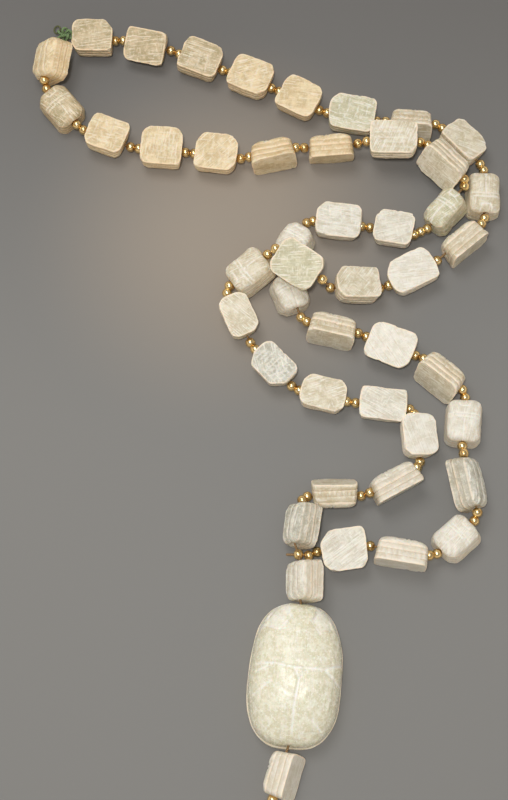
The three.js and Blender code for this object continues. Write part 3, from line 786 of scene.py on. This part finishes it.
# The cut lines, in pairs: towards the head, and towards the right side.
LARGE_LINES = [
    [(0.0019, -0.0124), (0.0024, -0.0072), (0.0015, -0.0008), (0.0017, 0.0084), (0.0038, 0.0142)],
    [(0.0017, -0.0008), (-0.0017, 0.0011), (-0.0096, 0.0002), (-0.0185, 0.0003)],
    [(0.0009, 0.0027), (-0.0017, 0.0011)],
    [(0.0024, -0.0072), (-0.0004, -0.0121)],
    [(0.0016, 0.0085), (-0.0026, 0.0136)],
    [(-0.0029, -0.0074), (-0.0075, -0.0124)],
    [(-0.0138, 0.0062), (-0.0166, 0.0091)],
    [(0.0232, -0.0050), (0.0176, -0.0031), (0.0142, -0.0048)],
    [(0.0176, -0.0031), (0.0130, -0.0064)],
    [(0.0135, -0.0045), (0.0130, -0.0064), (0.0141, -0.0106)],
    [(0.0221, -0.0055), (0.0150, -0.0112), (0.0100, -0.0140)],
    [(0.0200, 0.0062), (0.0162, 0.0035), (0.0127, 0.0063)],
    [(0.0190, 0.0087), (0.0150, 0.0115), (0.0100, 0.0139)],
]

# The cheeks, cut lower than the head between them.
LARGE_CHEEKS = [
    [(0.0236, -0.0048), (0.0176, -0.0031), (0.0130, -0.0064), (0.0141, -0.0106), (0.0185, -0.0098)],
    [(0.0236, 0.0052), (0.0162, 0.0035), (0.0127, 0.0064), (0.0145, 0.0106), (0.0190, 0.0090)],
]


def inside_depth(flat_points, corners):
    """How far points lie inside a convex outline, and less than 0 outside it."""
    middle = np.mean(corners, axis=0)
    depth = np.full(len(flat_points), np.inf)
    for start, end in zip(corners, corners[1:] + corners[:1]):
        run = np.subtract(end, start)
        across = np.array((-run[1], run[0])) / np.hypot(*run)
        inwards = np.sign((middle - start) @ across)
        depth = np.minimum(depth, (flat_points - start) @ across * inwards)
    return depth


def carve_large(grid, rng):
    """Moves the grid's points into the form of the large scarab, and returns them with its masks."""
    u, v = closer_at_ends(grid[:, 0]), closer_at_ends(grid[:, 1])
    ring = np.rint((grid[:, 2] + 1) / 2 * (len(LARGE_ROWS) - 1)).astype(int)
    reach = np.maximum(np.maximum(np.abs(u), np.abs(v)), 1e-9)
    on_side = reach > 1 - 1e-6
    on_back = (ring == len(LARGE_ROWS) - 1) & ~on_side
    on_plate = (ring == 0) & ~on_side
    along, across = u / reach, v / reach
    roundness = (np.abs(along) ** OVAL_POWER + np.abs(across) ** OVAL_POWER) ** (-1 / OVAL_POWER)
    along, across = along * roundness, across * roundness
    across = across * (1 - LARGE_NARROWING * along)
    height, long, wide, edge, groove_shade = LARGE_ROWS[ring].T
    height = height / 1000
    x = along * LARGE_LENGTH / 2 * reach * long
    y = across * LARGE_WIDTH / 2 * reach * wide
    height = np.where(on_back, np.interp(reach, LARGE_DOME[:, 0], LARGE_DOME[:, 1]), height)
    # The edge mask is a painted highlight and the groove mask a painted shade, both on the side only.
    edge, groove_shade = edge * on_side, groove_shade * on_side

    flat = np.column_stack((x, -y))
    cut_line = np.zeros(len(grid))
    for cheek in LARGE_CHEEKS:
        sunk = np.clip(inside_depth(flat, cheek) / CHEEK_SLOPE, 0, 1) * (on_back | (height > 0.006))
        height -= CHEEK_DEPTH * sunk
        # The sunk cheeks are drawn paler, at half the strength of the cut lines.
        cut_line = np.maximum(cut_line, 0.5 * sunk)
    for line in LARGE_LINES:
        cut = fade(line_distance(flat, line), LARGE_LINE_REACH) * (on_back | (height > 0.0055))
        height -= LARGE_LINE_DEPTH * cut
        cut_line = np.maximum(cut_line, cut)
    from_hole = np.hypot(y, height - LARGE_HOLE_HEIGHT)
    mouth = fade(from_hole, LARGE_MOUTH_REACH) * on_side * (np.abs(u) > 1 - 1e-6)
    x -= np.sign(u) * LARGE_MOUTH_DEPTH * mouth

    points = np.column_stack((x, y, height))
    middle = np.array((0, 0, LARGE_SHOULDER * 0.7))
    outwards = (points - middle) / np.linalg.norm(points - middle, axis=1)[:, None]
    bumps = sum(height * uneven(points, rng, size) for height, size in LARGE_BUMPS)
    points += outwards * np.where(on_plate, 0.1, 1)[:, None] * bumps[:, None]
    # The mouths of the hole get painted shade too.
    return points, {"cut_line": cut_line, "edge_highlight": edge, "groove_shade": np.maximum(groove_shade, mouth)}


large_grid, large_mesh = divided_block(LARGE_CUTS)
large_points, large_masks = carve_large(large_grid, np.random.default_rng(400))
give_attributes(large_mesh, large_points, large_masks)
large_turn = np.array(Matrix.Rotation(pi / 2 - radians(LARGE_LEAN), 3, "Z"))
large_mesh.vertices.foreach_set("co", (large_points @ large_turn.T).ravel())
large_mesh.update()
large_stone = stone_material(
    "polished green soapstone",
    (0.86, 0.84, 0.69),
    (0.72, 0.69, 0.51),
    (0.99, 0.98, 0.91),
    gloss=0.25,
    cloud_scale=520.0,
    fleck_share=0.7,
    scratch_share=0.25,
)
new_piece("carved_large_scarab", large_mesh, large_stone, "greenish_stone", "large_scarab")

# The gold balls
# Hollow gold-plated balls of about 3 mm, two in most gaps between the beads and drilled for the thread.
BALL_RADIUS = 0.00145
BALL_TO_BEAD = 0.00125
BALL_SWELL = 0.00168
BALL_HALF_RUN = 0.00143
BALL_AROUND = 24
BALL_ALONG = 14
UPPER_ODD_GAPS = {10: 1}
LOWER_ODD_GAPS = {10: 3, 21: 1}
MEETING_BALLS = [(0.0072, 0.0389, 0.0044), (0.0045, 0.0376, 0.0052), (0.0012, 0.0379, 0.0054)]
THREAD_END = (-0.0026, 0.0380, 0.0046)
CLEARANCE = 0.0003
END_BALLS = 2


def mouth_of(bead, sign):
    """The point where the thread leaves a bead, just beyond its end."""
    return bead.centre + bead.ahead * sign * (bead.length * END_SHARE + CLEARANCE)


def ball_beside(bead, sign, count):
    """The place of the ball next to a bead, in a gap with so many balls."""
    reach = max(bead.half_pitch - (count - 1) * BALL_RADIUS, bead.length * END_SHARE + BALL_TO_BEAD)
    return bead.centre + bead.ahead * sign * reach


def strand_balls(laid, odd_gaps):
    """The balls in each gap of a strand, as rows of middle and run."""
    balls = []
    for number, (here, after) in enumerate(zip(laid, laid[1:]), start=1):
        count = odd_gaps.get(number, 2)
        first = ball_beside(here, 1, count)
        last = ball_beside(after, -1, count)
        run = (after.centre - here.centre).normalized()
        for k in range(count):
            share = k / (count - 1) if count > 1 else 0.5
            balls.append((first.lerp(last, share), run))
    return balls


meeting = [Vector(place) for place in MEETING_BALLS]
meeting_runs = []
for i, ball in enumerate(meeting):
    before = meeting[i - 1] if i > 0 else lower[-1].centre
    after = meeting[i + 1] if i + 1 < len(meeting) else Vector(THREAD_END)
    meeting_runs.append((after - before).normalized())
first_end_ball = mouth_of(drop_end, 1) + drop_end.ahead * BALL_TO_BEAD
end_balls = [first_end_ball + drop_end.ahead * 2 * BALL_RADIUS * i for i in range(END_BALLS)]

balls = strand_balls(upper, UPPER_ODD_GAPS) + strand_balls(lower, LOWER_ODD_GAPS)
balls += list(zip(meeting, meeting_runs))
balls += [(ball, drop_end.ahead) for ball in end_balls]

ball_mesh = bmesh.new()
for middle, run in balls:
    verts = bmesh.ops.create_uvsphere(
        ball_mesh, u_segments=BALL_AROUND, v_segments=BALL_ALONG, radius=BALL_SWELL
    )["verts"]
    for vert in verts:
        vert.co.z = max(-BALL_HALF_RUN, min(BALL_HALF_RUN, vert.co.z))
    place = Matrix.Translation(middle) @ run.to_track_quat("Z", "Y").to_matrix().to_4x4()
    bmesh.ops.transform(ball_mesh, matrix=place, verts=verts)
for face in ball_mesh.faces:
    face.smooth = True
gold_mesh = bpy.data.meshes.new("gold_balls")
ball_mesh.to_mesh(gold_mesh)
ball_mesh.free()

gold = bpy.data.materials.new("worn gold plate")
gold.use_nodes = True
gold_tree = gold.node_tree
gold_shader = gold_tree.nodes["Principled BSDF"]
gold_place = add_node(gold_tree, "ShaderNodeTexCoord").outputs["Object"]
tarnish = noise(gold_tree, gold_place, 420.0, 4.0)
tarnish_mask = band(gold_tree, tarnish, 0.42, 0.75)
gold_colour = mixed(gold_tree, tarnish_mask, (1.0, 0.77, 0.39, 1), (0.55, 0.34, 0.12, 1))
gold_tree.links.new(gold_colour, gold_shader.inputs["Base Color"])
gold_shader.inputs["Metallic"].default_value = 1.0
gold_tree.links.new(spread(gold_tree, tarnish, 0.16, 0.34), gold_shader.inputs["Roughness"])
new_piece("gold_balls", gold_mesh, gold, "gold_balls", "string_with_gold_balls")

# The stringing thread
# A thin golden-brown twisted thread that runs through the hole of each bead and ball and holds them all,
# and ends in a small knot of three winds beyond the last ball.
THREAD_RADIUS = 0.00038
END_KNOT_POINTS = 40
POINTS_A_WIND = 13
WIND_RADIUS = 0.0005
WIND_START = 0.0006
WIND_RUN = 0.0008
END_KNOT_TIP = 0.0022


def tube_mesh(name, runs, radius):
    """Round threads along runs of points, as one mesh."""
    curve = bpy.data.curves.new(name, "CURVE")
    curve.dimensions = "3D"
    curve.bevel_depth = radius
    curve.bevel_resolution = 2
    curve.use_fill_caps = True
    for run in runs:
        spline = curve.splines.new("POLY")
        spline.points.add(len(run) - 1)
        for point, place in zip(spline.points, run):
            point.co = (*place, 1)
    made = bpy.data.objects.new(name, curve)
    bpy.context.scene.collection.objects.link(made)
    finished = made.evaluated_get(bpy.context.evaluated_depsgraph_get())
    mesh = bpy.data.meshes.new_from_object(finished)
    bpy.data.objects.remove(made)
    bpy.data.curves.remove(curve)
    mesh.polygons.foreach_set("use_smooth", np.ones(len(mesh.polygons), dtype=bool))
    return mesh


def strand_thread(laid, odd_gaps):
    """The points that the thread runs through, bead by bead and ball by ball."""
    run = [mouth_of(laid[0], -1)]
    placed = iter(strand_balls(laid, odd_gaps))
    for number, bead in enumerate(laid, start=1):
        run += [mouth_of(bead, -1), bead.centre, mouth_of(bead, 1)]
        if number < len(laid):
            run += [next(placed)[0] for _ in range(odd_gaps.get(number, 2))]
    return run


large_ahead = Vector((sin(radians(LARGE_LEAN)), cos(radians(LARGE_LEAN)), 0))
large_middle = Vector((0, 0, LARGE_HOLE_HEIGHT))
upper_thread = strand_thread(upper, UPPER_ODD_GAPS) + [meeting[-1]]
lower_thread = strand_thread(lower, LOWER_ODD_GAPS) + meeting + [Vector(THREAD_END)]
drop_thread = [meeting[-1], mouth_of(drop_top, -1), drop_top.centre, mouth_of(drop_top, 1)]
drop_thread += [large_middle + large_ahead * LARGE_LENGTH * share for share in (0.46, -0.46)]
drop_thread += [mouth_of(drop_end, -1), drop_end.centre, *end_balls]
knot_start = end_balls[-1] + drop_end.ahead * BALL_RADIUS
aside = drop_end.ahead.cross(Vector((0, 0, 1))).normalized()
for step in range(END_KNOT_POINTS):
    angle = tau * step / POINTS_A_WIND
    winding = (aside * cos(angle) + aside.cross(drop_end.ahead) * sin(angle)) * WIND_RADIUS
    along = WIND_START + WIND_RUN * step / (END_KNOT_POINTS - 1)
    drop_thread.append(knot_start + drop_end.ahead * along + winding)
drop_thread.append(knot_start + drop_end.ahead * END_KNOT_TIP)
thread_mesh = tube_mesh("stringing_thread", [upper_thread, lower_thread, drop_thread], THREAD_RADIUS)


def twisted_material(name, light, dark, turns):
    """A twisted thread: light and dark strands that wind round it, and a matt nap."""
    material = bpy.data.materials.new(name)
    material.use_nodes = True
    tree = material.node_tree
    shader = tree.nodes["Principled BSDF"]
    place = add_node(tree, "ShaderNodeTexCoord").outputs["Object"]
    wave_values = {"Vector": place, "Scale": turns, "Distortion": 3.0}
    waves = add_node(tree, "ShaderNodeTexWave", wave_values, bands_direction="DIAGONAL").outputs[1]
    tree.links.new(mixed(tree, waves, (*dark, 1), (*light, 1)), shader.inputs["Base Color"])
    shader.inputs["Roughness"].default_value = 0.7
    tree.links.new(bumped(tree, waves, 0.7, 0.0001), shader.inputs["Normal"])
    return material


brown_thread = twisted_material("golden brown thread", (0.42, 0.27, 0.12), (0.16, 0.08, 0.03), 900.0)
new_piece("stringing_thread", thread_mesh, brown_thread, "stringing_thread")

# The green tie
# A soft green thread knots the two ends of the necklace together at the top, and leaves a small dark
# loop. The knot's thread winds round and round a middle point in five lobes.
KNOT_CENTRE = Vector((-0.0794, 0.2223, 0.0036))
KNOT_RADIUS = 0.0014
KNOT_THREAD = 0.00042
KNOT_POINTS = 160
KNOT_LOBES = 5
KNOT_SWELL = 0.45
LOOP_CENTRE = Vector((-0.0820, 0.2239, 0.0039))
LOOP_RADIUS = 0.0014
LOOP_THREAD = 0.0003
LOOP_POINTS = 24
LOOP_END = LOOP_CENTRE + Vector((0.0008, -0.0006, 0))

knot_run = []
for step in range(KNOT_POINTS):
    turn = tau * step / KNOT_POINTS
    swell = KNOT_RADIUS * (1 + KNOT_SWELL * cos(KNOT_LOBES * turn))
    side = Vector((cos(2 * turn) * 1.25, sin(2 * turn), 0.85 * sin(KNOT_LOBES * turn)))
    knot_run.append(KNOT_CENTRE + side * swell)
knot_run.append(knot_run[0])
loop_run = []
for step in range(LOOP_POINTS + 1):
    turn = tau * step / LOOP_POINTS
    loop_run.append(LOOP_CENTRE + Vector((cos(turn) * 0.8, sin(turn), 0.25 * cos(turn))) * LOOP_RADIUS)
upper_tail = [KNOT_CENTRE, mouth_of(upper[0], -1), upper[0].centre]
lower_tail = [KNOT_CENTRE, mouth_of(lower[0], -1), lower[0].centre]
knot_mesh = tube_mesh("green_tie", [knot_run, upper_tail, lower_tail], KNOT_THREAD)
green_thread = twisted_material("green tying thread", (0.30, 0.44, 0.20), (0.08, 0.15, 0.06), 1300.0)
new_piece("green_tie", knot_mesh, green_thread, "green_thread", "green_knot")
loop_mesh = tube_mesh("dark_loop", [loop_run, [LOOP_END, KNOT_CENTRE]], LOOP_THREAD)
dark_thread = twisted_material("dark green thread", (0.16, 0.18, 0.07), (0.05, 0.05, 0.02), 1300.0)
new_piece("dark_loop", loop_mesh, dark_thread, "green_thread", "green_knot")

# The floor and the lights
# A plain table, painted lighter near the camera and darker further off as painted light and shade, with a
# painted warm glow of light from the beads inside the loops of the necklace; a small lamp beside the
# camera, a large soft one from the upper left, and a studio that is warmer low down.
FLOOR_HALF = 3.0
# The table's colours: painted light near the camera and painted shade further off.
LIT_NEAR_FLOOR = (0.225, 0.222, 0.212, 1)
SHADED_FAR_FLOOR = (0.15, 0.146, 0.14, 1)
# The painted warm glow of light from the beads, and its middle.
GLOW_FLOOR = (0.35, 0.30, 0.245, 1)
GLOW_SPOT = (-0.02, 0.15, 0)
LOW_STUDIO = (1.0, 0.83, 0.62, 1)
HIGH_STUDIO = (0.29, 0.295, 0.305, 1)

floor_mesh = bpy.data.meshes.new("floor")
floor_shape = bmesh.new()
bmesh.ops.create_grid(floor_shape, x_segments=1, y_segments=1, size=FLOOR_HALF)
floor_shape.to_mesh(floor_mesh)
floor_shape.free()
floor = bpy.data.objects.new("floor", floor_mesh)
bpy.context.scene.collection.objects.link(floor)
pale_floor = bpy.data.materials.new("pale floor")
pale_floor.use_nodes = True
floor_tree = pale_floor.node_tree
floor_place = add_node(floor_tree, "ShaderNodeTexCoord").outputs["Object"]
floor_y = add_node(floor_tree, "ShaderNodeSeparateXYZ", {"Vector": floor_place}).outputs["Y"]
from_spot = add_node(
    floor_tree, "ShaderNodeVectorMath", {0: floor_place, 1: GLOW_SPOT}, operation="DISTANCE"
).outputs["Value"]
# Painted light and shade: the table is lighter near the camera and darker further off.
floor_colour = mixed(floor_tree, band(floor_tree, floor_y, 0.07, 0.27), LIT_NEAR_FLOOR, SHADED_FAR_FLOOR)
# A painted warm glow of light from the beads, inside the loops of the necklace.
glow_share = times(floor_tree, band(floor_tree, from_spot, 0.078, 0.008), 0.9)
floor_colour = mixed(floor_tree, glow_share, floor_colour, GLOW_FLOOR)
floor_shader = floor_tree.nodes["Principled BSDF"]
floor_tree.links.new(floor_colour, floor_shader.inputs["Base Color"])
floor_shader.inputs["Roughness"].default_value = 0.85
floor_mesh.materials.append(pale_floor)


def area_light(name, place, aim, size, power, colour):
    """A round lamp that shines from its place to its aim."""
    light = bpy.data.lights.new(name, "AREA")
    light.shape = "DISK"
    light.size = size
    light.energy = power
    light.color = colour
    lamp = bpy.data.objects.new(name, light)
    lamp.location = place
    lamp.rotation_euler = (Vector(aim) - Vector(place)).to_track_quat("-Z", "Y").to_euler()
    bpy.context.scene.collection.objects.link(lamp)


area_light("camera_side_light", (-0.05, -0.05, 0.68), (-0.01, 0.09, 0), 0.07, 2.0, (1.0, 0.985, 0.965))
area_light("soft_light", (-0.16, 0.32, 0.68), (0, 0.07, 0), 0.35, 1.55, (1.0, 0.99, 0.975))
world = bpy.data.worlds.new("studio")
world.use_nodes = True
sky = world.node_tree
sky_way = add_node(sky, "ShaderNodeTexCoord").outputs["Generated"]
sky_height = add_node(sky, "ShaderNodeSeparateXYZ", {"Vector": sky_way}).outputs["Z"]
sky_share = band(sky, sky_height, 0.0, 0.65)
sky_colour = mixed(sky, sky_share, LOW_STUDIO, HIGH_STUDIO)
sky.links.new(sky_colour, sky.nodes["Background"].inputs["Color"])
bpy.context.scene.world = world
